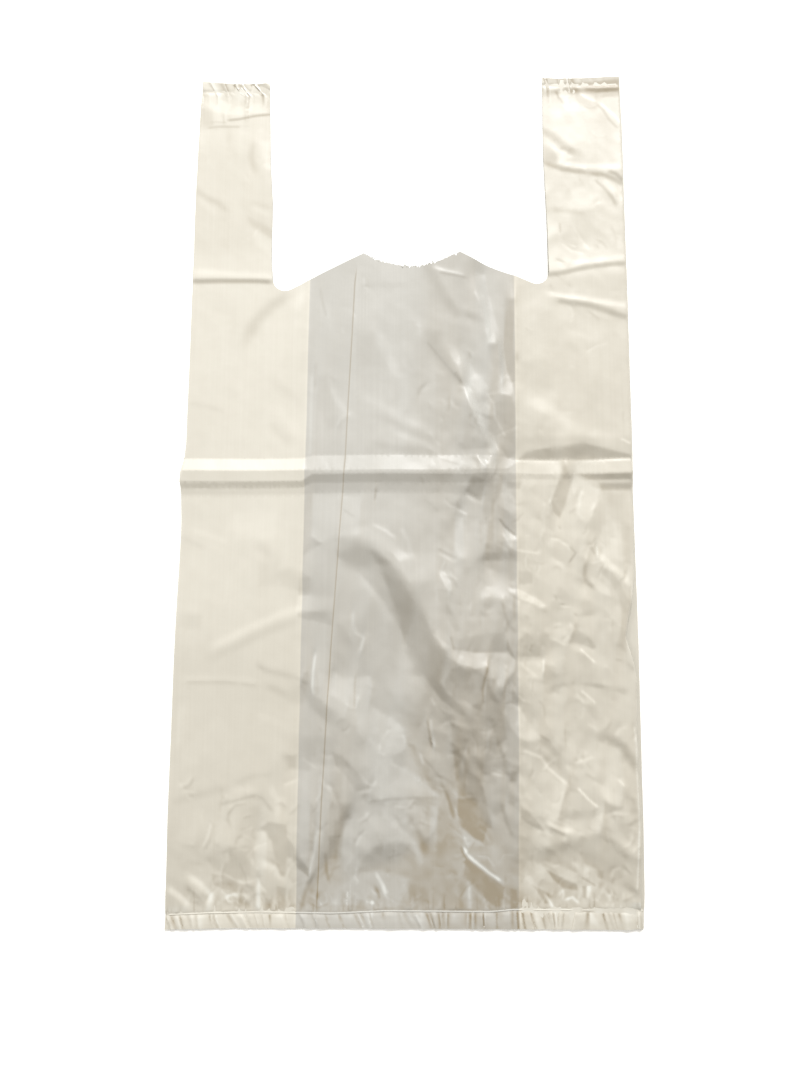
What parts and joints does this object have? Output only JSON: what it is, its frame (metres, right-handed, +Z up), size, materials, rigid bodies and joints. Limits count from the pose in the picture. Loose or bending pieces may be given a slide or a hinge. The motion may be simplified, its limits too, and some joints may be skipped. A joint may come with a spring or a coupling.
{
  "type": "plastic carrier bag",
  "caption": "Empty vest-type carrier bag of thin film, lying flat, with side gussets, welded ends and loop handles.",
  "frame": {"origin": "the middle of the bag's outline, on the surface that the back panel lies on", "axes": "+X across the bag to the right-hand handle, +Y along the bag from the bottom weld to the handles, +Z up out of the front panel"},
  "size_m": [0.28, 0.533, 0.0105],
  "materials": {
    "film": "satin, slightly see-through white film, creased"
  },
  "bodies": {
    "root": {"carrier_bag": "film"}
  },
  "joints": []
}
